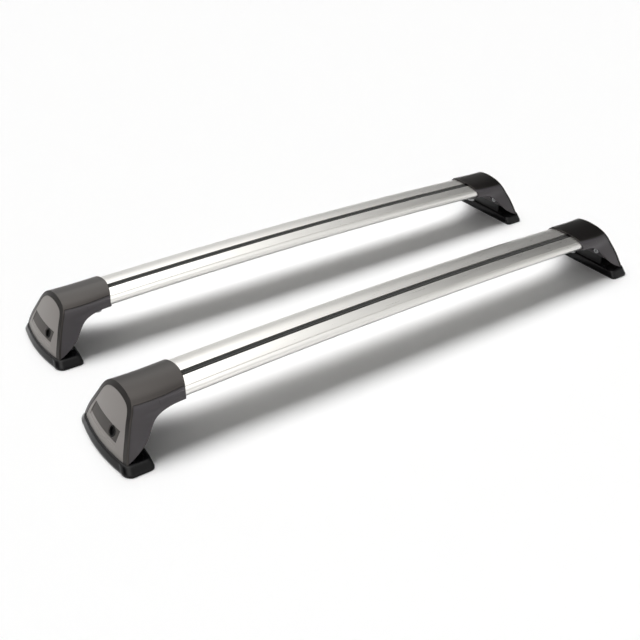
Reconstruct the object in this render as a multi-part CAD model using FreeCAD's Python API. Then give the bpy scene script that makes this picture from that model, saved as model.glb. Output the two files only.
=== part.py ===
import FreeCAD
import Part
import os
from math import asin, atan2, cos, degrees, radians, sin, sqrt, tan

from FreeCAD import Vector

# A pair of roof crossbars. Each bar is an arched aluminium wing section with a rubber strip in its
# top slot, and stands on two moulded feet that a lock and a steel bracket hold to the roof.
# Millimetres, X along the bars, -Y the leading edge, +Z up, origin on the roof under the middle.

# Layout of the pair
RIM_SPAN = 780.0           # between the rims of a bar's two covers, measured at the bar's crest
BAR_SPACING = 275.0        # between the centre planes of the two bars
ARCH_RISE = 6.9            # how far the middle of a bar stands above its rims
BAR_HEIGHT = 71.5          # centre of the bar above the roof, at a rim

# Bar extrusion
BAR_WIDTH = 80.0
BAR_THICKNESS = 28.0
BAR_WALL = 2.2
BAR_WEB = 2.0
BAR_INSERT = 42.0          # length of bar inside each foot
BAR_GROOVE = 1.0           # fine line drawn along the nose, above and below
BAR_GROOVE_ANGLE = 34.0    # from the nose, round the section

# Slot in the bar's top, and the strip that fills it
SLOT_OFFSET = -10.7        # towards the leading edge
SLOT_MOUTH = 10.8
SLOT_CHAMBER = 20.0
SLOT_LIP = 2.6
SLOT_DEPTH = 11.0
STRIP_FIT = 0.15
STRIP_SINK = 1.0           # top of the strip below the bar's crest
STRIP_FLANGE = 1.8
STRIP_RIB = 1.4            # width of a groove between the strip's ribs
STRIP_RIB_DEPTH = 0.7
STRIP_INSERT = 20.0        # length of strip under each cover

# Foot mouldings
SLEEVE_FIT = 0.5           # between the bar and the mouldings round it
SOCKET_FIT = 0.3           # between the bar and the socket that carries it
COVER_WALL = 3.2
COVER_STEP = 0.8           # the cover stands this far proud of the side panels
PARTING_GAP = 0.3
RIM_RADIUS = 100.0         # curve of the rim, seen from above
PAD_HEIGHT = 13.0
FRONT_FLANK = ((-66.0, 13.0), (-55.3, 36.4), (-44.2, 57.7))    # side and height, from the base up
REAR_FLANK = ((69.0, 13.0), (61.5, 37.0), (52.0, 58.0))
END_STATION = 90.0         # where the leg has its end section, from the rim
END_TAPER = 2.0            # the end section is this much narrower on each side,
END_SHIFT = 5.0            # moved this far to the rear
END_DROP = 0.5             # and this far down
CREASE_RIM = 82.0          # height of the seam between cover and side panel, at the rim
CREASE_END = 76.7          # and at its corner, by the end face
CREASE_SIDE = -28.2
SOCKET_WALL = 2.3
SOCKET_TOP = 7.0           # the socket reaches this far above the bar's centre
SOCKET_END = 4.0           # wall that closes the socket behind the bar

# End face: a crown turned about a far upright axis
CROWN_RADIUS = 320.0
CROWN_SHIFT = 20.0         # its axis lies this far to the rear
CROWN_LOW = (127.0, 0.0)   # three points of its profile, from the rim and above the roof
CROWN_MIDDLE = (109.3, 40.0)
CROWN_HIGH = (77.0, 90.0)
BAND_WIDTH = 7.0           # rim of the cover round the end panel
SEAM_SETBACK = 3.3         # seam of the cover and the side panels, inboard of the end face
PANEL_FIT = 0.2            # round the end panel
PANEL_SINK = 0.4           # face of the end panel below the cover's rim

# Arch cut out of the leg, from the rim and above the roof
ARCH = ((-10.0, 66.5), (20.0, 66.0), (35.5, 63.5), (57.4, 51.5), (73.8, 33.6), (88.8, 21.9), (107.0, 12.9))

# Inside of the leg
CROSS_WALL_STATION = 78.0
CROSS_WALL = 4.0
CROSS_WALL_LOW = 31.0
CROSS_WALL_HIGH = 62.0
RIB = 2.4
RIB_SPACING = 34.0
RIB_RISE = 6.0             # lower edge of a rib above the arch

# Badge recess and insert, on the end face
RECESS_LOW = 27.0
RECESS_HIGH = 44.5
RECESS_FRONT = -33.0
RECESS_REAR = 46.0
RECESS_SLANT = 5.0
RECESS_DEPTH = 2.2
LEDGE_LOW = 23.0           # shallow ledge along the foot of the recess
LEDGE_DEPTH = 1.2
BADGE_FIT = 0.2
BADGE_THICKNESS = 0.9
BADGE_GLUE = 0.1           # film of glue under the badge

# Lock
LOCK_Y = -16.6
LOCK_HEIGHT = 36.4
LOCK_LEAN = 27.0           # tilt of the lock's axis above the horizontal
LOCK_HOLE = 16.4
LOCK_BOSS = 10.0           # depth of the end panel's boss round the lock
LOCK_BOSS_WALL = 2.0
HOUSING_DIAMETER = 15.8
HOUSING_LENGTH = 12.0
HOUSING_SINK = 1.4         # mouth of the housing below the end face
CORE_DIAMETER = 11.6
CORE_SINK = 2.6            # face of the core below the housing's mouth
CORE_FIT = 0.25
KEY_SLOT = (2.2, 7.4)
KEY_SLOT_DEPTH = 8.0
CAM_THICKNESS = 3.0
CAM_WIDTH = 8.0
CAM_REACH = 16.0
CAM_TAIL = 6.0
CAM_GAP = 0.4
THREAD_FIT = 0.1           # between a screw or tail and the hole that it fills

# Base bracket, its screws and the pad
PLATE_THICKNESS = 4.0
PLATE_OUTER = 112.0
PLATE_HALF_LENGTH = 46.0
PLATE_CORNER = 5.0
UPSTAND_HALF_WIDTH = 36.0
UPSTAND_HEIGHT = 49.0
CATCH_STATION = 102.0
CATCH_THICKNESS = 3.0
CATCH_SPAN = (-5.0, 3.0)
CATCH_HEIGHT = 32.0
PLATE_FIT = 0.2
FIXING_STATION = 98.0
FIXING_Y = 18.0
FIXING_DIAMETER = 8.5
FIXING_RELIEF = 16.0
SCREW_DIAMETER = 6.0
SCREW_HEAD = 10.0
SCREW_HEAD_HEIGHT = 4.0
SCREW_Y = 27.0
SCREW_HEIGHT = 40.0
SCREW_FIT = 0.3
NUT_FLATS = 10.0
NUT_HEIGHT = 4.5

PAD_INNER = 75.0
PAD_FRONT = -78.0
PAD_REAR = 84.0
PAD_LIP = 1.5              # outboard of the foot of the end face
PAD_CORNER = 7.0           # inboard corners
PAD_TURN = ((17.0, 10.0), (24.0, 16.0))    # outboard corners, front and rear: across and along the bar
PAD_TOE = 3.0              # upright edge of the pad, below its slopes
PAD_SLOPE = 8.0            # how far the ends slope in
PAD_EDGE = 4.0             # how far the long sides slope in

# Screw that clamps the bar, with its nut plate inside the bar
CLAMP_STATION = 24.0
CLAMP_DIAMETER = 8.0
CLAMP_HEAD = 13.0
CLAMP_HEAD_HEIGHT = 6.0
CLAMP_BOSS = 18.0
CLAMP_BOSS_HEIGHT = 2.5
CLAMP_FIT = 0.4
HEX_KEY = 5.0
NUT_PLATE = (22.0, 15.0, 4.0)

# Worked out from the sizes above
HALF_SPAN = RIM_SPAN / 2
ARCH_RADIUS = (HALF_SPAN ** 2 + ARCH_RISE ** 2) / (2 * ARCH_RISE)
ARCH_CENTRE = BAR_HEIGHT + ARCH_RISE - ARCH_RADIUS
TANGENT_X = HALF_SPAN + BAR_INSERT / 2
SLOPE = asin(TANGENT_X / ARCH_RADIUS)
FAR = 300.0
ALONG = Vector(1, 0, 0)
ACROSS = Vector(0, 1, 0)
UP = Vector(0, 0, 1)


def bar_line(u):
    """Height of the bar's centre at a distance u outboard of the rim, on its tangent in the foot."""
    at_tangent = ARCH_CENTRE + sqrt(ARCH_RADIUS ** 2 - TANGENT_X ** 2)
    return at_tangent - (HALF_SPAN + u - TANGENT_X) * tan(SLOPE)


def place(u, y, z):
    return Vector(HALF_SPAN + u, y, z)


def block(u, y, z):
    """A box between two stations, two sides and two heights."""
    low = place(u[0], y[0], z[0])
    return Part.makeBox(u[1] - u[0], y[1] - y[0], z[1] - z[0], low)


def section_rectangle(y, z):
    corners = [(y[0], z[0]), (y[1], z[0]), (y[1], z[1]), (y[0], z[1]), (y[0], z[0])]
    return Part.Face(Part.makePolygon([Vector(0, a, b) for a, b in corners]))


def section_ellipse(grow, centre=0.0):
    """The bar's outline, grown all round, as a face across X."""
    middle = Vector(0, 0, centre)
    side = middle + ACROSS * (BAR_WIDTH / 2 + grow)
    top = middle + UP * (BAR_THICKNESS / 2 + grow)
    return Part.Face(Part.Wire(Part.Ellipse(side, top, middle).toShape()))


def arched(section, reach):
    """Sweeps a section along the arch of the bar, to a distance either side of the middle."""
    angle = degrees(asin(reach / ARCH_RADIUS))
    face = section.copy()
    face.translate(UP * (BAR_HEIGHT + ARCH_RISE))
    axis = UP * ARCH_CENTRE
    face.rotate(axis, ACROSS, -angle)
    return face.revolve(axis, ACROSS, 2 * angle)


def along_bar(section, start, end):
    """Extrudes a section along the bar's tangent in the foot, between two stations."""
    length = (end - start) / cos(SLOPE)
    solid = section.extrude(ALONG * length)
    solid.rotate(Vector(), ACROSS, degrees(SLOPE))
    solid.translate(place(start, 0, bar_line(start)))
    return solid


def slot_floor():
    return BAR_THICKNESS / 2 - SLOT_DEPTH


def slot_ceiling():
    return BAR_THICKNESS / 2 - SLOT_LIP


def bar_extrusion():
    """Hollow wing section with two webs, the slot and its lips, and a fine line along the nose."""
    inside = section_ellipse(-BAR_WALL)
    tall = (-BAR_THICKNESS, BAR_THICKNESS)
    slot_front = SLOT_OFFSET - SLOT_CHAMBER / 2
    slot_rear = SLOT_OFFSET + SLOT_CHAMBER / 2
    nose_cell = inside.common(section_rectangle((-BAR_WIDTH, slot_front - BAR_WEB), tall))
    tail_cell = inside.common(section_rectangle((slot_rear + BAR_WEB, BAR_WIDTH), tall))
    under_slot = (-BAR_THICKNESS, slot_floor() - BAR_WEB)
    low_cell = inside.common(section_rectangle((slot_front, slot_rear), under_slot))
    chamber = section_rectangle((slot_front, slot_rear), (slot_floor(), slot_ceiling()))
    mouth = section_rectangle((SLOT_OFFSET - SLOT_MOUTH / 2, SLOT_OFFSET + SLOT_MOUTH / 2),
                              (slot_floor(), BAR_THICKNESS))
    section = section_ellipse(0).cut([nose_cell, tail_cell, low_cell, chamber, mouth])
    for side in (1, -1):
        angle = radians(BAR_GROOVE_ANGLE)
        y = -BAR_WIDTH / 2 * cos(angle)
        z = side * BAR_THICKNESS / 2 * sin(angle)
        half = BAR_GROOVE / 2
        section = section.cut(section_rectangle((y - half, y + half), (z - half, z + half)))
    return arched(section.Faces[0], HALF_SPAN + BAR_INSERT)


def slot_strip():
    """Ribbed rubber strip: a stem in the slot's mouth on a flange under the lips."""
    half = SLOT_MOUTH / 2 - STRIP_FIT
    top = BAR_THICKNESS / 2 * sqrt(1 - ((abs(SLOT_OFFSET) + half) / (BAR_WIDTH / 2)) ** 2) - STRIP_SINK
    under_lip = slot_ceiling() - STRIP_FIT
    wide = SLOT_CHAMBER / 2 - STRIP_FIT - BAR_WEB
    base = under_lip - STRIP_FLANGE
    stem = section_rectangle((SLOT_OFFSET - half, SLOT_OFFSET + half), (base, top))
    flange = section_rectangle((SLOT_OFFSET - wide, SLOT_OFFSET + wide), (base, under_lip))
    section = stem.fuse(flange).removeSplitter()
    for side in (-1, 1):
        middle = SLOT_OFFSET + side * SLOT_MOUTH / 5
        sides = (middle - STRIP_RIB / 2, middle + STRIP_RIB / 2)
        section = section.cut(section_rectangle(sides, (top - STRIP_RIB_DEPTH, FAR)))
    return arched(section.Faces[0], HALF_SPAN + STRIP_INSERT)


def crest(centre, half_width, half_height, shift, start):
    """Points over the top of the foot's outline, on an ellipse, from front to rear."""
    angles = (start, 40, 65, 90, 115, 140, 180 - start)
    return [(shift - half_width * cos(radians(a)), centre + half_height * sin(radians(a))) for a in angles]


def outline(u):
    """The foot's outline across the bar at a station: crest round the bar, flanks down to the pad."""
    half_width = BAR_WIDTH / 2 + SLEEVE_FIT + COVER_WALL
    half_height = BAR_THICKNESS / 2 + SLEEVE_FIT + COVER_WALL
    if u <= BAR_INSERT:
        top = crest(bar_line(u), half_width, half_height, 0, 0)
    else:
        top = crest(bar_line(u) - END_DROP, half_width - END_TAPER, half_height, END_SHIFT, 15)
    return list(FRONT_FLANK) + top + list(REAR_FLANK)[::-1]


def inset(points, depth):
    """Moves an outline's points inwards; its two feet move level, so that the base stays flat."""
    moved = []
    last = len(points) - 1
    for i, (y, z) in enumerate(points):
        before = points[max(i - 1, 0)]
        after = points[min(i + 1, last)]
        lean = atan2(after[1] - before[1], after[0] - before[0])
        if i in (0, last):
            moved.append((y + depth * sin(lean) / abs(sin(lean)) / abs(sin(lean)), z))
        else:
            moved.append((y + depth * sin(lean), z - depth * cos(lean)))
    return moved


def skin(depth):
    """Solid bounded by the foot's outer surface, moved inwards by a depth."""
    wires = []
    for u in (-6.0, BAR_INSERT / 2, BAR_INSERT, END_STATION, END_STATION + 45.0):
        points = [place(u, y, z) for y, z in inset(outline(u), depth)]
        curve = Part.BSplineCurve()
        curve.interpolate(points)
        base = Part.makeLine(points[-1], points[0])
        wires.append(Part.Wire([curve.toShape(), base]))
    return Part.makeLoft(wires, True)


def crown(depth):
    """Solid inboard of the end face, moved inwards by a depth."""
    low, middle, high = [place(u - depth, CROWN_SHIFT, z) for u, z in (CROWN_LOW, CROWN_MIDDLE, CROWN_HIGH)]
    axis = place(CROWN_LOW[0] - CROWN_RADIUS, CROWN_SHIFT, 0)
    foot = Vector(axis.x, axis.y, low.z)
    head = Vector(axis.x, axis.y, high.z)
    edges = [Part.Arc(low, middle, high).toShape(), Part.makeLine(high, head), Part.makeLine(head, foot),
             Part.makeLine(foot, low)]
    face = Part.Face(Part.Wire(edges))
    face.rotate(axis, UP, -45)
    return face.revolve(axis, UP, 90).toNurbs()


def hull(depth):
    """The foot's whole outer form, moved inwards by a depth."""
    return skin(depth).common(crown(depth))


def crown_station(y, z):
    """Distance of the end face from the rim, at a side and a height."""
    low, middle, high = [Vector(u, 0, h) for u, h in (CROWN_LOW, CROWN_MIDDLE, CROWN_HIGH)]
    circle = Part.Arc(low, middle, high).toShape().Curve
    profile = circle.Center.x + sqrt(circle.Radius ** 2 - (z - circle.Center.z) ** 2)
    axis = CROWN_LOW[0] - CROWN_RADIUS
    return axis + sqrt((profile - axis) ** 2 - (y - CROWN_SHIFT) ** 2)


def prism(edges):
    """Solid across the whole foot from a closed chain of edges in its long upright plane."""
    face = Part.Face(Part.Wire(edges))
    face.translate(ACROSS * -FAR / 2)
    return face.extrude(ACROSS * FAR)


def chain(points):
    """Straight edges through points given from the rim and above the roof."""
    return [Part.makeLine(place(a[0], 0, a[1]), place(b[0], 0, b[1])) for a, b in zip(points, points[1:])]


def curve(points):
    """One smooth edge through points given from the rim and above the roof."""
    line = Part.BSplineCurve()
    line.interpolate([place(u, 0, z) for u, z in points])
    return line.toShape()


def parting(offset):
    """Everything below and inboard of the seam between the cover and the foot body."""
    heights = [CREASE_END] + [z for y, z in FRONT_FLANK[::-1]] + [0.0]
    sides = [CREASE_SIDE] + [y for y, z in FRONT_FLANK[::-1]] + [FRONT_FLANK[0][0]]
    seam = [(crown_station(y, z) - SEAM_SETBACK + offset, z) for y, z in zip(sides, heights)]
    corner = (seam[0][0], CREASE_END + offset)
    slope = (CREASE_RIM - CREASE_END) / corner[0]
    start = (-FAR, corner[1] + slope * (corner[0] + FAR))
    seam[0] = corner
    outside = [seam[-1], (seam[-1][0], -FAR), (-FAR, -FAR), start, corner]
    return prism([curve(seam)] + chain(outside))


def arch_cut(offset):
    """Everything under the arch of the leg, moved up by an offset."""
    points = [(u, z + offset) for u, z in ARCH]
    outside = [points[-1], (points[-1][0], -FAR), (points[0][0], -FAR), points[0]]
    return prism([curve(points)] + chain(outside))


def rim_cut():
    """Upright drum that gives the rim its curve, seen from above."""
    return Part.makeCylinder(RIM_RADIUS, FAR, place(RIM_RADIUS, 0, -FAR / 2))


def lock_frame():
    """Point of the lock's axis on the end face, and its outward direction."""
    lean = radians(LOCK_LEAN)
    return place(crown_station(LOCK_Y, LOCK_HEIGHT), LOCK_Y, LOCK_HEIGHT), Vector(cos(lean), 0, sin(lean))


def lock_cylinder(diameter, start, end):
    """Round bar on the lock's axis between two depths under the end face."""
    point, out = lock_frame()
    return Part.makeCylinder(diameter / 2, end - start, point - out * end, out)


def lock_block(across, upright, start, end):
    """Square bar along the lock's axis: its two sides, level and upright, and its two depths."""
    point, out = lock_frame()
    box = Part.makeBox(end - start, across[1] - across[0], upright[1] - upright[0],
                       Vector(-end, across[0], upright[0]))
    box.rotate(Vector(), ACROSS, -LOCK_LEAN)
    box.translate(point)
    return box


def recess_prism(margin, low):
    """Slant-ended strip across the end face, kept clear of the recess edge by a margin."""
    high = RECESS_HIGH - margin
    low = low + margin
    rear = RECESS_REAR - margin
    front = RECESS_FRONT + margin
    corners = [(front, low), (rear + RECESS_SLANT, low), (rear, high), (front, high), (front, low)]
    face = Part.Face(Part.makePolygon([place(0, y, z) for y, z in corners]))
    return face.extrude(ALONG * FAR)


def layer(outer, inner):
    """Skin of the end face between two depths."""
    return crown(outer).cut(crown(inner))


def outer_cover(form, hollow):
    """Moulded shell over the top and the end of the foot, with a window for the end panel."""
    window = skin(BAND_WIDTH).cut(crown(2 * COVER_WALL))
    envelope = along_bar(section_ellipse(SLEEVE_FIT), -RIM_RADIUS, BAR_INSERT + SOCKET_END)
    return form.cut([hollow, parting(PARTING_GAP), envelope]).common(rim_cut()).cut(window)


def end_panel():
    """Plate that fills the cover's window, with the badge recess, its ledge and the boss round the lock."""
    plate = skin(BAND_WIDTH + PANEL_FIT).common(crown(PANEL_SINK)).cut(crown(COVER_WALL))
    boss = lock_cylinder(LOCK_HOLE + 2 * LOCK_BOSS_WALL, -LOCK_HOLE, LOCK_BOSS).common(crown(COVER_WALL - 1))
    recess = recess_prism(0, RECESS_LOW).common(layer(-COVER_WALL, RECESS_DEPTH))
    ledge = recess_prism(0, LEDGE_LOW).common(layer(-COVER_WALL, LEDGE_DEPTH))
    hole = lock_cylinder(LOCK_HOLE, -LOCK_HOLE, HOUSING_LENGTH)
    return plate.fuse(boss).cut([recess, ledge, hole])


def badge_insert():
    """Thin bare plate on the floor of the recess, with a hole round the lock."""
    back = RECESS_DEPTH - BADGE_GLUE
    plate = recess_prism(BADGE_FIT, RECESS_LOW).common(layer(back - BADGE_THICKNESS, back))
    return plate.cut(lock_cylinder(LOCK_HOLE, -LOCK_HOLE, HOUSING_LENGTH))


def clamp_cylinder(diameter, low, high):
    """Round bar square to the bar's underside at the clamp screw, between two heights on the section."""
    rod = Part.makeCylinder(diameter / 2, high - low, Vector(0, SLOT_OFFSET, low))
    rod.rotate(Vector(), ACROSS, degrees(SLOPE))
    rod.translate(place(CLAMP_STATION, 0, bar_line(CLAMP_STATION)))
    return rod


def socket_bottom():
    return -BAR_THICKNESS / 2 - SOCKET_FIT - SOCKET_WALL


def foot_body(hollow):
    """Leg moulding: two side panels, the socket under the bar, a cross wall and two ribs."""
    below_seam = parting(0)
    shaped = hull(COVER_STEP)
    panels = shaped.cut(hollow).common(below_seam).cut(arch_cut(0)).common(rim_cut())
    lower = section_rectangle((-FAR, FAR), (-FAR, SOCKET_TOP))
    outside = section_ellipse(SOCKET_FIT + SOCKET_WALL).common(lower)
    socket_close = BAR_INSERT + SOCKET_END
    socket = along_bar(outside.Faces[0], -RIM_RADIUS / 4, socket_close).common(rim_cut())
    envelope = along_bar(section_ellipse(SOCKET_FIT), -RIM_RADIUS, BAR_INSERT + SOCKET_FIT)
    boss = clamp_cylinder(CLAMP_BOSS, socket_bottom() - CLAMP_BOSS_HEIGHT, socket_bottom() + SOCKET_WALL / 2)
    wall_span = (CROSS_WALL_STATION, CROSS_WALL_STATION + CROSS_WALL)
    wall = block(wall_span, (-FAR, FAR), (CROSS_WALL_LOW, CROSS_WALL_HIGH)).common(shaped)
    clear = skin(COVER_WALL + RIB)
    ribs = []
    for side in (-1, 1):
        middle = side * RIB_SPACING / 2
        span = (socket_close - SOCKET_END / 2, CROSS_WALL_STATION + CROSS_WALL / 2)
        rib = block(span, (middle - RIB / 2, middle + RIB / 2), (CROSS_WALL_LOW, CROSS_WALL_HIGH))
        ribs.append(rib.common(clear).cut(arch_cut(RIB_RISE)))
    body = panels.fuse([socket, boss, wall] + ribs)
    holes = [envelope, clamp_cylinder(CLAMP_DIAMETER + 2 * CLAMP_FIT, -FAR / 2, 0)]
    holes += [screw_cylinder(side, SCREW_DIAMETER + 2 * SCREW_FIT, wall_span[0] - RIB, wall_span[1] + RIB)
              for side in (-1, 1)]
    return body.cut(holes)


def screw_cylinder(side, diameter, start, end):
    """Round bar along X on a bracket screw's axis, between two stations."""
    return Part.makeCylinder(diameter / 2, end - start, place(start, side * SCREW_Y, SCREW_HEIGHT), ALONG)


def hexagon(across_flats, base, axis, height):
    """Six-sided bar from a base point along an axis."""
    corner = across_flats / sqrt(3)
    points = [Vector(corner * cos(radians(60 * i)), corner * sin(radians(60 * i)), 0) for i in range(7)]
    bar = Part.Face(Part.makePolygon(points)).extrude(UP * height)
    bar.Placement = FreeCAD.Placement(base, FreeCAD.Rotation(UP, axis))
    return bar


def bracket_inner():
    return CROSS_WALL_STATION + CROSS_WALL


def base_bracket():
    """Bent steel plate: it lies in the pad, stands up behind the cross wall and has the lock's catch."""
    inner = bracket_inner()
    floor = PAD_HEIGHT - PLATE_THICKNESS
    plate = block((inner, PLATE_OUTER), (-PLATE_HALF_LENGTH, PLATE_HALF_LENGTH), (floor, PAD_HEIGHT))
    ends = [e for e in plate.Edges if e.BoundBox.ZLength > PLATE_THICKNESS / 2]
    plate = plate.makeFillet(PLATE_CORNER, ends)
    upstand = block((inner, inner + PLATE_THICKNESS), (-UPSTAND_HALF_WIDTH, UPSTAND_HALF_WIDTH),
                    (floor, UPSTAND_HEIGHT))
    corners = [e for e in upstand.Edges if e.BoundBox.XLength > PLATE_THICKNESS / 2]
    tops = [e for e in corners if e.BoundBox.ZMin > PAD_HEIGHT]
    upstand = upstand.makeFillet(PLATE_CORNER, tops)
    catch = block((CATCH_STATION, CATCH_STATION + CATCH_THICKNESS), CATCH_SPAN, (floor, CATCH_HEIGHT))
    fixing = Part.makeCylinder(FIXING_DIAMETER / 2, FAR, place(FIXING_STATION, FIXING_Y, -FAR / 2))
    holes = [screw_cylinder(side, SCREW_DIAMETER + 2 * SCREW_FIT, inner - RIB, inner + 2 * PLATE_THICKNESS)
             for side in (-1, 1)]
    return plate.fuse([upstand, catch]).removeSplitter().cut([fixing] + holes)


def bracket_screws():
    """Two cap screws through the cross wall and the bracket, heads inboard."""
    screws = []
    for side in (-1, 1):
        head_back = CROSS_WALL_STATION
        head = screw_cylinder(side, SCREW_HEAD, head_back - SCREW_HEAD_HEIGHT, head_back)
        end = bracket_inner() + PLATE_THICKNESS + NUT_HEIGHT + 1
        shank = screw_cylinder(side, SCREW_DIAMETER, head_back, end)
        top = place(head_back - SCREW_HEAD_HEIGHT, side * SCREW_Y, SCREW_HEIGHT)
        key = hexagon(HEX_KEY, top, ALONG, SCREW_HEAD_HEIGHT / 2)
        screws.append(head.fuse(shank).cut(key))
    return Part.makeCompound(screws)


def bracket_nuts():
    """Two nuts on the bracket screws, against the bracket."""
    nuts = []
    for side in (-1, 1):
        face = bracket_inner() + PLATE_THICKNESS
        nut = hexagon(NUT_FLATS, place(face, side * SCREW_Y, SCREW_HEIGHT), ALONG, NUT_HEIGHT)
        bore = screw_cylinder(side, SCREW_DIAMETER + 2 * THREAD_FIT, face - 1, face + NUT_HEIGHT + 1)
        nuts.append(nut.cut(bore))
    return Part.makeCompound(nuts)


def pad_outline(end_in, side_in, z):
    """The pad seen from above: straight inboard edge, round corners, outboard edge like the end face."""
    axis = CROWN_LOW[0] - CROWN_RADIUS
    radius = CROWN_RADIUS + PAD_LIP - side_in
    inner = PAD_INNER + side_in / 2
    halves = []
    bow = []
    ends = ((PAD_FRONT + end_in, 1), (PAD_REAR - end_in, -1))
    for (end, side), (across, along) in zip(ends, PAD_TURN):
        y = end + side * across
        outer = axis + sqrt(radius ** 2 - (y - CROWN_SHIFT) ** 2)
        turn = PAD_CORNER * (1 - sqrt(0.5))
        corner = [(inner, end + side * PAD_CORNER), (inner + turn, end + side * turn),
                  (inner + PAD_CORNER, end)]
        bend = [(outer - along, end), (outer - 0.4 * along, end + side * 0.26 * across), (outer, y)]
        halves.append((corner, bend))
        bow.append(bend[2])
    bow.insert(1, (axis + radius, CROWN_SHIFT))
    edges = [Part.Arc(*[place(u, y, z) for u, y in bow]).toShape()]
    for corner, bend in halves:
        for arc in (corner, bend):
            edges.append(Part.Arc(*[place(u, y, z) for u, y in arc]).toShape())
        edges.append(Part.makeLine(place(*corner[2], z), place(*bend[0], z)))
    edges.append(Part.makeLine(place(*halves[0][0][0], z), place(*halves[1][0][0], z)))
    return Part.Wire(Part.__sortEdges__(edges))


def base_pad():
    """Soft pad between the bracket and the roof, with a pocket for the plate and a hole for the fixing."""
    toe = Part.makeLoft([pad_outline(0, 0, 0), pad_outline(0, 0, PAD_TOE)], True, True)
    top = pad_outline(PAD_SLOPE, PAD_EDGE, PAD_HEIGHT)
    slopes = Part.makeLoft([pad_outline(0, 0, PAD_TOE), top], True, True)
    pad = toe.fuse(slopes).removeSplitter()
    floor = PAD_HEIGHT - PLATE_THICKNESS
    inner = bracket_inner()
    half = PLATE_HALF_LENGTH + PLATE_FIT
    pocket = block((inner - PLATE_FIT, PLATE_OUTER + PLATE_FIT), (-half, half), (floor, PAD_HEIGHT + 1))
    relief = Part.makeCylinder(FIXING_RELIEF / 2, FAR, place(FIXING_STATION, FIXING_Y, -FAR / 2))
    return pad.cut([pocket, relief])


def lock_housing():
    """Die-cast sleeve that the lock core turns in."""
    end = HOUSING_SINK + HOUSING_LENGTH
    sleeve = lock_cylinder(HOUSING_DIAMETER, HOUSING_SINK, end)
    return sleeve.cut(lock_cylinder(CORE_DIAMETER + 2 * CORE_FIT, HOUSING_SINK - 1, end + 1))


def cam_start():
    return HOUSING_SINK + HOUSING_LENGTH + CAM_GAP


def lock_core():
    """Keyed plug with a slot for the key and a round tail for the cam."""
    start = HOUSING_SINK + CORE_SINK
    plug = lock_cylinder(CORE_DIAMETER, start, cam_start())
    tail = lock_cylinder(CAM_TAIL, cam_start(), cam_start() + CAM_THICKNESS + CAM_GAP)
    slot = lock_block((-KEY_SLOT[0] / 2, KEY_SLOT[0] / 2), (-KEY_SLOT[1] / 2, KEY_SLOT[1] / 2),
                      start - 1, start + KEY_SLOT_DEPTH)
    return plug.fuse(tail).cut(slot)


def lock_cam():
    """Flat tongue on the core's tail, behind the bracket's catch when the lock is shut."""
    start = cam_start()
    end = start + CAM_THICKNESS
    hub = lock_cylinder(CAM_WIDTH + 2 * CAM_GAP, start, end)
    tongue = lock_block((0, CAM_REACH), (-CAM_WIDTH / 2, CAM_WIDTH / 2), start, end)
    return hub.fuse(tongue).removeSplitter().cut(lock_cylinder(CAM_TAIL + 2 * THREAD_FIT, start - 1, end + 1))


def nut_plate_low():
    """Height on the bar's section where the nut plate rests on the floor of the bar's lower cell."""
    far_edge = abs(SLOT_OFFSET) + NUT_PLATE[1] / 2
    half_width = BAR_WIDTH / 2 - BAR_WALL
    half_height = BAR_THICKNESS / 2 - BAR_WALL
    return THREAD_FIT - half_height * sqrt(1 - (far_edge / half_width) ** 2)


def nut_plate():
    """Tapped plate inside the bar that the clamp screw pulls down on."""
    length, width, height = NUT_PLATE
    plate = Part.makeBox(length, width, height, Vector(-length / 2, SLOT_OFFSET - width / 2, nut_plate_low()))
    plate.rotate(Vector(), ACROSS, degrees(SLOPE))
    plate.translate(place(CLAMP_STATION, 0, bar_line(CLAMP_STATION)))
    return plate.cut(clamp_cylinder(CLAMP_DIAMETER + 2 * THREAD_FIT, -FAR / 2, FAR / 2))


def clamp_screw():
    """Hexagon socket screw from under the socket, through the bar's floor, into the nut plate."""
    seat = socket_bottom() - CLAMP_BOSS_HEIGHT
    head = clamp_cylinder(CLAMP_HEAD, seat - CLAMP_HEAD_HEIGHT, seat)
    shank = clamp_cylinder(CLAMP_DIAMETER, seat, nut_plate_low() + NUT_PLATE[2])
    base = clamp_cylinder(CLAMP_HEAD, seat - CLAMP_HEAD_HEIGHT, seat).Faces
    low = min(base, key=lambda f: f.CenterOfMass.z).CenterOfMass
    key = hexagon(HEX_KEY, low, Vector(sin(SLOPE), 0, cos(SLOPE)), CLAMP_HEAD_HEIGHT / 2)
    return head.fuse(shank).cut(key)


def mirrored(shape):
    return shape.mirror(Vector(), ALONG)


def main():
    os.makedirs("parts", exist_ok=True)
    form = hull(0)
    hollow = hull(COVER_WALL)
    foot = {
        "foot_body": foot_body(hollow),
        "outer_cover": outer_cover(form, hollow),
        "end_panel": end_panel(),
        "badge_insert": badge_insert(),
        "base_bracket": base_bracket(),
        "bracket_screws": bracket_screws(),
        "bracket_nuts": bracket_nuts(),
        "base_pad": base_pad(),
        "lock_housing": lock_housing(),
        "lock_core": lock_core(),
        "lock_cam": lock_cam(),
        "nut_plate": nut_plate(),
        "clamp_screw": clamp_screw(),
    }
    hole = clamp_cylinder(CLAMP_DIAMETER + 2 * CLAMP_FIT, -BAR_THICKNESS, 0)
    bar = {"bar": bar_extrusion().cut([hole, mirrored(hole)]), "slot_strip": slot_strip()}
    middle = -(PAD_FRONT + PAD_REAR) / 2
    for row, y in (("front", middle - BAR_SPACING / 2), ("rear", middle + BAR_SPACING / 2)):
        shift = ACROSS * y
        for name, solid in bar.items():
            solid.translated(shift).exportStep("parts/%s_%s.step" % (row, name))
        for name, solid in foot.items():
            solid.translated(shift).exportStep("parts/%s_right_%s.step" % (row, name))
            mirrored(solid).translated(shift).exportStep("parts/%s_left_%s.step" % (row, name))


main()
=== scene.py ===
from math import cos, pi, radians, sin

import bpy
from mathutils import Matrix, Vector

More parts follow.
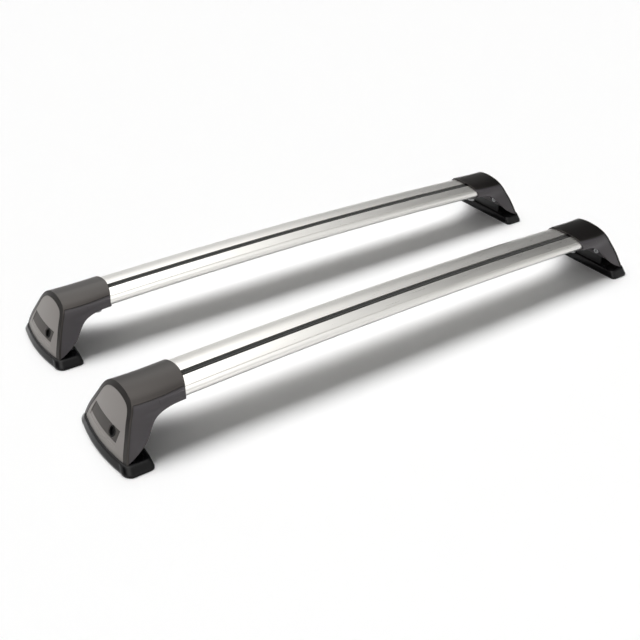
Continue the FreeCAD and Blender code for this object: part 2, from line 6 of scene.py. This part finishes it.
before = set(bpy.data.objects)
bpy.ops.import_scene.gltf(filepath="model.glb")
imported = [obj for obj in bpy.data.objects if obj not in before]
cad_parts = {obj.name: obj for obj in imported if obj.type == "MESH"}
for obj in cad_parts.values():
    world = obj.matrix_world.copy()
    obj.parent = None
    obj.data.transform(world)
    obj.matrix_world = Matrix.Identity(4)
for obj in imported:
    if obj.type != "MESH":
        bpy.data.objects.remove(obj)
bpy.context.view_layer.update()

# Bars: hollow wing-section aluminium extrusions, stretched to a slight arch.
# They are linished along their length and clear anodised, so highlights run
# along the bar and spread a little across it.


def linear(code):
    """An sRGB hex colour as the linear values that a shader takes."""
    values = [int(code[i:i + 2], 16) / 255 for i in (1, 3, 5)]
    return tuple(v / 12.92 if v <= 0.04045 else ((v + 0.055) / 1.055) ** 2.4
                 for v in values) + (1.0,)


def add_node(tree, kind, settings=None, inputs=None):
    """Adds one shader node, sets its properties, and sets or links its inputs."""
    node = tree.nodes.new(kind)
    for name, value in (settings or {}).items():
        setattr(node, name, value)
    for name, value in (inputs or {}).items():
        if isinstance(value, bpy.types.NodeSocket):
            tree.links.new(value, node.inputs[name])
        else:
            node.inputs[name].default_value = value
    return node


def new_material(name, values):
    """A material with constant shader values, returned with its tree and shader."""
    material = bpy.data.materials.new(name)
    material.use_nodes = True
    tree = material.node_tree
    shader = tree.nodes["Principled BSDF"]
    for socket, value in values.items():
        shader.inputs[socket].default_value = value
    return material, tree, shader


def dress(node, material):
    """Puts one material on a whole CAD node."""
    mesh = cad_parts[node].data
    mesh.materials.clear()
    mesh.materials.append(material)


MM = 0.001                       # in metres
ROWS = ("front", "rear")
LINE_WIDTH = 1 * MM              # of the linished lines, coarser than real grit so that they show
LINE_LENGTH = 60 * MM
LINE_DEPTH = 0.05 * MM
NOISE_LOW, NOISE_HIGH = 0.3, 0.7     # where most values of a noise texture lie
aluminium, tree, shader = new_material("anodised_aluminium", {
    "Base Color": linear("#DEDDDA"), "Metallic": 1.0, "Roughness": 0.3, "Anisotropic": 0.5})
place = add_node(tree, "ShaderNodeTexCoord").outputs["Object"]
stretch = add_node(tree, "ShaderNodeMapping", inputs={
    "Vector": place, "Scale": (1 / LINE_LENGTH, 1 / LINE_WIDTH, 1 / LINE_WIDTH)})
lines = add_node(tree, "ShaderNodeTexNoise", inputs={
    "Vector": stretch.outputs["Vector"], "Scale": 1.0, "Detail": 3.0, "Roughness": 0.6})
satin = add_node(tree, "ShaderNodeMapRange", inputs={
    "Value": lines.outputs["Fac"], "From Min": NOISE_LOW, "From Max": NOISE_HIGH,
    "To Min": 0.27, "To Max": 0.36})
relief = add_node(tree, "ShaderNodeBump", inputs={
    "Height": lines.outputs["Fac"], "Strength": 0.05, "Distance": LINE_DEPTH})
along_bar = add_node(tree, "ShaderNodeCombineXYZ", inputs={"X": 1.0})
tree.links.new(along_bar.outputs["Vector"], shader.inputs["Tangent"])
tree.links.new(satin.outputs["Result"], shader.inputs["Roughness"])
tree.links.new(relief.outputs["Normal"], shader.inputs["Normal"])
for row in ROWS:
    dress(row + "_bar", aluminium)

# Slot strips: extruded rubber infill, pressed into the slot along the top of
# each bar. It has a matt black face with fine cross grooves that keep loads
# from sliding.

GROOVE_SPACING = 2.2 * MM
GROOVE_DEPTH = 0.25 * MM
strip_rubber, tree, shader = new_material("grooved_epdm_rubber", {
    "Base Color": linear("#3A3A39"), "Roughness": 0.7, "IOR": 1.5, "Specular IOR Level": 0.35})
place = add_node(tree, "ShaderNodeTexCoord").outputs["Object"]
along = add_node(tree, "ShaderNodeSeparateXYZ", inputs={"Vector": place})
turns = add_node(tree, "ShaderNodeMath", {"operation": "MULTIPLY"}, {
    0: along.outputs["X"], 1: 2 * pi / GROOVE_SPACING})
wave = add_node(tree, "ShaderNodeMath", {"operation": "SINE"}, {0: turns.outputs["Value"]})
grooves = add_node(tree, "ShaderNodeBump", inputs={
    "Height": wave.outputs["Value"], "Strength": 0.6, "Distance": GROOVE_DEPTH})
tree.links.new(grooves.outputs["Normal"], shader.inputs["Normal"])
for row in ROWS:
    dress(row + "_slot_strip", strip_rubber)

# Foot bodies and outer covers: injection-moulded glass-filled nylon, spark eroded to a fine satin
# grain, so the dark surface picks up a broad soft reflection and looks grey where it faces the
# light. The legs are also given a lighter grey than the covers, and that grey is partly painted
# light on their side panels.

FEET = [row + "_" + side for row in ROWS for side in ("left", "right")]
GRAIN_SIZE = 0.5 * MM
GRAIN_DEPTH = 0.06 * MM
MOULDED_EDGE = 0.8 * MM
EDGE_SAMPLES = 6


def satin_nylon(name, colour, roughness, gloss):
    """Moulded satin plastic with a fine grain and softly rounded edges."""
    material, tree, shader = new_material(name, {
        "Base Color": linear(colour), "Roughness": roughness, "IOR": 1.5,
        "Specular IOR Level": gloss, "Specular Tint": linear("#FFF6F0")})
    place = add_node(tree, "ShaderNodeTexCoord").outputs["Object"]
    speckle = add_node(tree, "ShaderNodeTexNoise", inputs={
        "Vector": place, "Scale": 1 / GRAIN_SIZE, "Detail": 2.0, "Roughness": 0.5})
    edge = add_node(tree, "ShaderNodeBevel", {"samples": EDGE_SAMPLES}, {"Radius": MOULDED_EDGE})
    grain = add_node(tree, "ShaderNodeBump", inputs={
        "Height": speckle.outputs["Fac"], "Strength": 0.12, "Distance": GRAIN_DEPTH,
        "Normal": edge.outputs["Normal"]})
    tree.links.new(grain.outputs["Normal"], shader.inputs["Normal"])
    return material


# The legs' grey is partly their own dark grey and partly painted light: it is lifted well above
# the covers' black to stand in for the front light on their side panels.
leg_grey_and_painted_light = satin_nylon("satin_nylon_leg_and_painted_light", "#464448", roughness=0.42, gloss=0.42)
cover_nylon = satin_nylon("satin_nylon_cover", "#0A0909", roughness=0.28, gloss=0.5)
for foot in FEET:
    dress(foot + "_foot_body", leg_grey_and_painted_light)
    dress(foot + "_outer_cover", cover_nylon)

# End panels: moulded plates in a lighter grey, clipped into the window of each
# cover, with a recess for the badge and a boss behind it for the lock.

panel_nylon = satin_nylon("satin_nylon_panel", "#908C89", roughness=0.4, gloss=0.42)
for foot in FEET:
    dress(foot + "_end_panel", panel_nylon)

# Badge inserts: thin stamped plates glued on the floor of the recess in the end panel, with a
# dull coat of a darker grey, which is partly their own colour and partly painted shade that makes
# the recess look deeper. They are left bare.

# Painted shade: the insert's grey is darker than its own colour so that the recess looks deeper.
badge_grey_and_painted_shade = satin_nylon("dull_grey_coat_and_painted_shade", "#44413F", roughness=0.5, gloss=0.36)
for foot in FEET:
    dress(foot + "_badge_insert", badge_grey_and_painted_shade)

# Screws, nuts, nut plates and lock cams: turned and pressed steel, zinc plated,
# with the faint cloudy bloom that bright zinc has.

BLOOM = 6 * MM
zinc_steel, tree, shader = new_material("zinc_plated_steel", {
    "Base Color": linear("#9A9B9C"), "Metallic": 1.0, "Roughness": 0.35})
place = add_node(tree, "ShaderNodeTexCoord").outputs["Object"]
cloud = add_node(tree, "ShaderNodeTexNoise", inputs={
    "Vector": place, "Scale": 1 / BLOOM, "Detail": 4.0})
dull = add_node(tree, "ShaderNodeMapRange", inputs={
    "Value": cloud.outputs["Fac"], "From Min": NOISE_LOW, "From Max": NOISE_HIGH,
    "To Min": 0.28, "To Max": 0.45})
tree.links.new(dull.outputs["Result"], shader.inputs["Roughness"])
for foot in FEET:
    for piece in ("bracket_screws", "bracket_nuts", "nut_plate", "clamp_screw", "lock_cam"):
        dress(foot + "_" + piece, zinc_steel)

# Base brackets: bent steel plates with a black electro-coat, thin and even, a
# little shinier than the legs round them.

BENT_EDGE = 0.6 * MM
black_steel, tree, shader = new_material("black_coated_steel", {
    "Base Color": linear("#0E0E0F"), "Roughness": 0.4, "IOR": 1.5})
edge = add_node(tree, "ShaderNodeBevel", {"samples": EDGE_SAMPLES}, {"Radius": BENT_EDGE})
tree.links.new(edge.outputs["Normal"], shader.inputs["Normal"])
for foot in FEET:
    dress(foot + "_base_bracket", black_steel)

# Base pads: soft thermoplastic rubber, moulded in a polished tool, so they are
# black and shiny. They lie on the roof under each foot.

PAD_EDGE = 5 * MM
pad_rubber, tree, shader = new_material("polished_rubber_pad", {
    "Base Color": linear("#060607"), "Roughness": 0.1, "IOR": 1.5, "Specular IOR Level": 0.2})
edge = add_node(tree, "ShaderNodeBevel", {"samples": EDGE_SAMPLES}, {"Radius": PAD_EDGE})
tree.links.new(edge.outputs["Normal"], shader.inputs["Normal"])
for foot in FEET:
    dress(foot + "_base_pad", pad_rubber)

# Locks: die-cast zinc housings and keyed cores with a thin black coat, which
# lies satin on the castings and leaves the key slot dark.

CAST_EDGE = 0.3 * MM
coated_zinc, tree, shader = new_material("black_coated_zinc", {
    "Base Color": linear("#030303"), "Roughness": 0.5, "IOR": 1.5, "Specular IOR Level": 0.15})
edge = add_node(tree, "ShaderNodeBevel", {"samples": 4}, {"Radius": CAST_EDGE})
tree.links.new(edge.outputs["Normal"], shader.inputs["Normal"])
for foot in FEET:
    dress(foot + "_lock_housing", coated_zinc)
    dress(foot + "_lock_core", coated_zinc)

# Studio: a seamless white floor under a strip soft box, with a weak fill in front.
# The sky is white to the camera and weak and even as light. Reflections see it as
# a dark room with five soft panels, two of them beyond the left ends of the bars.

FLOOR_SIZE = 12.0
FLOOR_LIFT = 0.02                # brings the lit paper up to white for the camera
bpy.ops.mesh.primitive_plane_add(size=FLOOR_SIZE, location=(0, 0, 0))
floor = bpy.context.object
floor.name = "studio_floor"
paper, tree, shader = new_material("white_paper", {
    "Base Color": linear("#FAFAFA"), "Roughness": 0.9, "Specular IOR Level": 0.0,
    "Emission Color": linear("#FFFFFF")})
seen = add_node(tree, "ShaderNodeLightPath")
shown = add_node(tree, "ShaderNodeMath", {"operation": "MAXIMUM"}, {
    0: seen.outputs["Is Camera Ray"], 1: seen.outputs["Is Glossy Ray"]})
lift = add_node(tree, "ShaderNodeMath", {"operation": "MULTIPLY"}, {
    0: shown.outputs["Value"], 1: FLOOR_LIFT})
tree.links.new(lift.outputs["Value"], shader.inputs["Emission Strength"])
floor.data.materials.append(paper)

LEFT_AND_BACK = (-0.8, 0.6, 0)
SKY_LIGHT = 0.12                 # strength of the sky as light on the object
world = bpy.data.worlds.new("studio_sky")
bpy.context.scene.world = world
world.use_nodes = True
tree = world.node_tree
sky = add_node(tree, "ShaderNodeTexCoord").outputs["Generated"]
axes = add_node(tree, "ShaderNodeSeparateXYZ", inputs={"Vector": sky})
across, up = axes.outputs["Y"], axes.outputs["Z"]
sideways = add_node(tree, "ShaderNodeVectorMath", {"operation": "DOT_PRODUCT"}, {
    0: sky, 1: LEFT_AND_BACK}).outputs["Value"]


def ramp(value, start, end, low, high):
    """A smooth change of the sky's strength from low to high, between start and end."""
    node = add_node(tree, "ShaderNodeMapRange", {"interpolation_type": "SMOOTHSTEP"}, {
        "Value": value, "From Min": start, "From Max": end, "To Min": low, "To Max": high})
    return node.outputs["Result"]


panels = [
    # behind the left ends: the tops of the bars go from white on the left to grey
    (ramp(sideways, -0.4, 0.3, 0.0, 1.8), ramp(sideways, -0.4, 0.3, 0.0, 1.0),
     ramp(sideways, 0.45, 0.75, 1.0, 0.0), ramp(up, 0.3, 0.62, 0.4, 1.0)),
    # farther to the left: the upper part of each end panel
    (ramp(sideways, 0.7, 0.9, 0.0, 1.4), ramp(up, 0.0, 0.45, 0.0, 1.0)),
    # weak, behind: the right half of the bars
    (ramp(sideways, -0.32, -0.12, 0.0, 0.3), ramp(up, 0.34, 0.48, 0.0, 1.0)),
    # in front: the noses of the bars
    (ramp(across, -0.5, -0.05, 0.95, 0.0),),
    # overhead
    (ramp(up, 0.7, 0.95, 0.04, 1.2),)]
shine = 0.0
for factors in panels:
    glow = 1.0
    for factor in factors:
        glow = add_node(tree, "ShaderNodeMath", {"operation": "MULTIPLY"}, {
            0: glow, 1: factor}).outputs["Value"]
    shine = add_node(tree, "ShaderNodeMath", {"operation": "ADD"}, {
        0: shine, 1: glow}).outputs["Value"]
ray = add_node(tree, "ShaderNodeLightPath")
soft = add_node(tree, "ShaderNodeMix", {"data_type": "FLOAT"}, {
    "Factor": ray.outputs["Is Diffuse Ray"], "A": shine, "B": SKY_LIGHT})
strength = add_node(tree, "ShaderNodeMix", {"data_type": "FLOAT"}, {
    "Factor": ray.outputs["Is Camera Ray"], "A": soft.outputs["Result"], "B": 1.0})
tree.links.new(strength.outputs["Result"], tree.nodes["Background"].inputs["Strength"])
tree.nodes["Background"].inputs["Color"].default_value = linear("#FFFEFC")

STRIP_LEANS = (-0.35, 0.0, 0.35)     # three suns side by side make the strip
for lean in STRIP_LEANS:
    direction = Vector((lean, 0.43, 0.88))
    bpy.ops.object.light_add(type="SUN", location=direction)
    key = bpy.context.object
    key.name = "strip_soft_box"
    key.data.energy = 1.06
    key.data.angle = radians(30)
    key.rotation_euler = (-direction).to_track_quat("-Z", "Y").to_euler()
    key.visible_glossy = False

FILL_PLACE, FILL_AIM = Vector((-0.4, -2.6, 0.5)), Vector((-0.2, 0, 0.05))
bpy.ops.object.light_add(type="AREA", location=FILL_PLACE)
fill = bpy.context.object
fill.name = "front_fill"
fill.data.shape = "RECTANGLE"
fill.data.size, fill.data.size_y = 2.4, 0.8
fill.data.energy = 4
fill.rotation_euler = (FILL_AIM - FILL_PLACE).to_track_quat("-Z", "Y").to_euler()

# Camera: a long normal lens, at the height of someone looking down on the pair
# from beyond its near left corner, rolled by about one degree.

AZIMUTH, ELEVATION, ROLL = radians(-34.44), radians(33.25), radians(1.19)
CAMERA_PLACE = (-0.7047, -0.9424, 0.7206)
right = Vector((cos(AZIMUTH), sin(AZIMUTH), 0))
back = Vector((sin(AZIMUTH) * cos(ELEVATION), -cos(AZIMUTH) * cos(ELEVATION), sin(ELEVATION)))
level = Matrix((right, back.cross(right), back)).transposed().to_4x4()
bpy.ops.object.camera_add()
camera = bpy.context.object
camera.name = "photo_camera"
camera.data.sensor_width = 36.0
camera.data.lens = 42.91
camera.matrix_world = Matrix.Translation(CAMERA_PLACE) @ level @ Matrix.Rotation(ROLL, 4, "Z")
bpy.context.scene.camera = camera
bpy.context.scene.view_settings.view_transform = "Standard"
